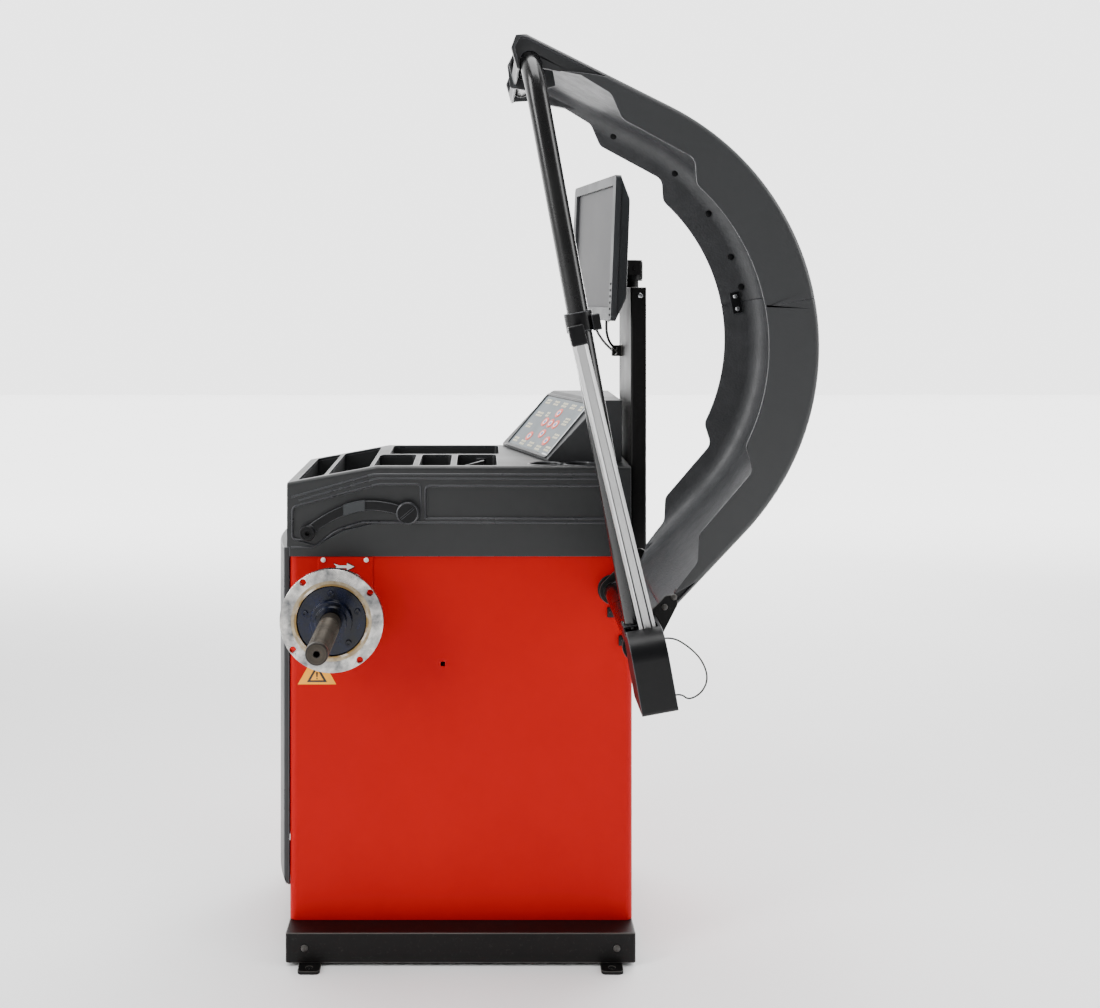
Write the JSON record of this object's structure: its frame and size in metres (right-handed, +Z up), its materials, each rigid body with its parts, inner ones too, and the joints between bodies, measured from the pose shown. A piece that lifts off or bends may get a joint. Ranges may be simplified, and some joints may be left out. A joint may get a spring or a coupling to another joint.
{
  "type": "wheel balancer machine",
  "caption": "Floor-standing wheel balancer: red cabinet, threaded spindle with flange, swinging hood, width arm, weight tray, keypad console and monitor on a post.",
  "frame": {"origin": "floor level, at the middle of the four anchor holes", "axes": "+Z up, +X towards the rear, the spindle points along -Y and the operator stands at -X"},
  "size_m": [0.8739, 0.962, 1.5485],
  "materials": {
    "red_panel": "smooth powder coat",
    "black_steel": "satin black powder coat",
    "black_plastic": "grained black moulding",
    "machined_steel": "turned, lightly worn",
    "dark_steel": "oiled thread",
    "blue_casting": "dark blue enamel on a casting",
    "motor_grey": "grey cast housing",
    "bar_aluminium": "extruded, clear anodised",
    "grey_plastic": "fine grained silver-grey",
    "screen": "unlit matt screen",
    "overlay": "printed film",
    "circuit_board": "solder mask",
    "belt_rubber": "ribbed belt"
  },
  "bodies": {
    "machine": {"tray_bins": "black_plastic", "foot_bars": "black_steel", "plinth": "black_steel", "cabinet": "red_panel", "rear_panel": "black_steel", "access_plate": "red_panel", "front_cover": "black_plastic", "bearing_housing": "blue_casting", "spindle_bearings": "machined_steel", "vibration_column": "black_steel", "piezo_sensors": "machined_steel", "sensor_bracket": "black_steel", "encoder_sensor": "black_plastic", "drive_belt": "belt_rubber", "motor_body": "motor_grey", "motor_bracket": "black_steel", "power_board": "circuit_board", "computer_box": "black_plastic", "mains_inlet": "black_plastic", "weight_tray": "black_plastic", "console": "black_plastic", "keypad_overlay": "overlay", "keypad_board": "circuit_board", "gauge_guide": "machined_steel", "gauge_reel": "black_plastic", "hood_bearings": "black_steel", "hood_stop_plate": "black_steel", "hood_limit_switch": "black_plastic", "monitor_post": "black_steel", "monitor_cable_a": "black_plastic", "monitor_cable_b": "black_plastic"},
    "spindle": {"spindle_shaft": "dark_steel", "spindle_flange": "machined_steel", "spindle_hub": "blue_casting", "driven_pulley": "motor_grey", "encoder_disc": "machined_steel"},
    "motor_rotor": {"motor_shaft": "machined_steel", "motor_pulley": "motor_grey"},
    "hood": {"hood_tube": "black_steel", "hood_shell_upper": "black_plastic", "hood_shell_lower": "black_plastic", "hood_joint_straps": "black_plastic", "hood_ears": "black_steel", "hood_bar_cap": "black_plastic", "width_sensor_case": "black_plastic", "width_pot": "black_plastic", "width_arm_clip": "black_plastic", "width_cable": "black_plastic"},
    "width_arm": {"width_bar": "bar_aluminium", "width_bar_cap": "grey_plastic"},
    "gauge_rod": {"gauge_rod": "machined_steel"},
    "gauge_arm": {"gauge_arm": "black_plastic", "gauge_knob": "black_plastic", "gauge_grip": "black_plastic"},
    "monitor_swivel": {"monitor_swivel": "black_plastic"},
    "monitor": {"monitor_bezel": "grey_plastic", "monitor_back": "grey_plastic", "monitor_panel": "screen", "monitor_bracket": "machined_steel"},
    "power_rocker": {"power_rocker": "black_plastic"}
  },
  "joints": [
    {"name": "spindle_spin", "type": "hinge", "parent": "machine", "child": "spindle", "pos_m": [-0.2195, -0.3, 0.6057], "axis": [0, -1, 0], "continuous": true},
    {"name": "motor_spin", "type": "hinge", "parent": "machine", "child": "motor_rotor", "pos_m": [-0.04, 0.08, 0.4], "axis": [0, -1, 0], "continuous": true},
    {"name": "hood_swing", "type": "hinge", "parent": "machine", "child": "hood", "pos_m": [0.267, 0, 0.642], "axis": [0, -1, 0], "range_deg": [0, 78]},
    {"name": "width_arm_swing", "type": "hinge", "parent": "hood", "child": "width_arm", "pos_m": [0.279, -0.646, 0.659], "axis": [0, -1, 0], "range_deg": [0, 40]},
    {"name": "gauge_slide", "type": "slide", "parent": "machine", "child": "gauge_rod", "axis": [0, -1, 0], "range_m": [0, 0.24], "stiffness_N_per_m": 12, "springref_m": -0.1},
    {"name": "gauge_turn", "type": "hinge", "parent": "gauge_rod", "child": "gauge_arm", "pos_m": [-0.269, -0.19, 0.743], "axis": [0, -1, 0], "range_deg": [0, 110]},
    {"name": "monitor_pan", "type": "hinge", "parent": "machine", "child": "monitor_swivel", "pos_m": [0.317, -0.04, 1.2], "axis": [0, 0, 1], "range_deg": [-14, 1.5], "deforming": ["monitor_cable_a", "monitor_cable_b"]},
    {"name": "monitor_tilt", "type": "hinge", "parent": "monitor_swivel", "child": "monitor", "pos_m": [0.317, -0.04, 1.211], "axis": [0.1433, -0.9897, 0], "range_deg": [-12, 2]},
    {"name": "power_switch", "type": "hinge", "parent": "machine", "child": "power_rocker", "pos_m": [0.304, 0.105, 0.178], "axis": [0, 1, 0], "range_deg": [-24, 0]}
  ],
  "couplings": [
    {"joint": "motor_spin", "follows": "spindle_spin", "ratio": 2.5}
  ]
}
